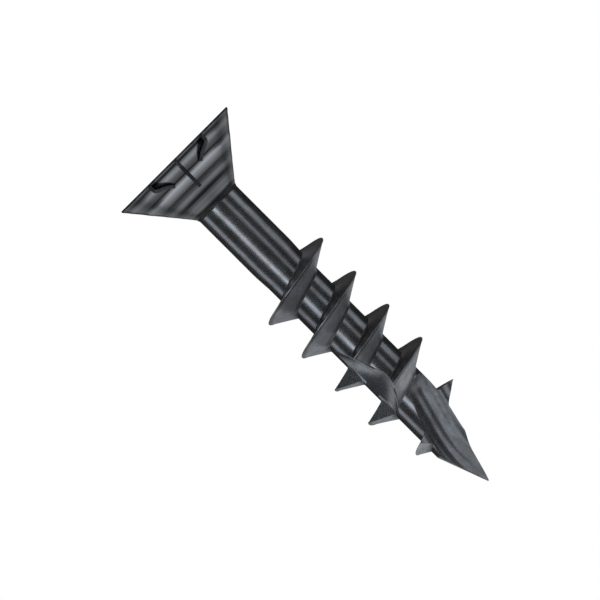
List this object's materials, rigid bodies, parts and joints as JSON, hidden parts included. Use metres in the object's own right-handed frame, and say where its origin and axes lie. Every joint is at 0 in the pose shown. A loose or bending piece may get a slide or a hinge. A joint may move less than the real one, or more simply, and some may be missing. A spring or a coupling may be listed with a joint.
{
  "type": "wood screw",
  "caption": "Black countersunk wood screw with a square-and-cross drive, cutting nibs, a plain shank, deep sharp right-hand thread, a relief flute and a slotted point.",
  "frame": {"origin": "centre of the flat head face, which lies flush with the timber when the screw is driven home", "axes": "+Z out of the head along the screw's axis, the point hangs down -Z; -Y is the front, towards the flute; the wings of the drive lie along X and Y"},
  "size_m": [0.0084, 0.0084, 0.0254],
  "materials": {
    "black_phosphate_steel": "satin near-black phosphate and oil coat on carbon steel",
    "rubbed_black_steel": "the same near-black coat, rubbed thin along sharp edges"
  },
  "bodies": {
    "root": {"head": "black_phosphate_steel", "nib_1": "rubbed_black_steel", "nib_2": "rubbed_black_steel", "nib_3": "rubbed_black_steel", "nib_4": "rubbed_black_steel", "nib_5": "rubbed_black_steel", "nib_6": "rubbed_black_steel", "neck": "black_phosphate_steel", "shank": "black_phosphate_steel", "thread_core": "black_phosphate_steel", "thread_1": "rubbed_black_steel", "thread_2": "rubbed_black_steel", "thread_3": "rubbed_black_steel", "thread_4": "rubbed_black_steel", "point": "black_phosphate_steel"}
  },
  "joints": []
}
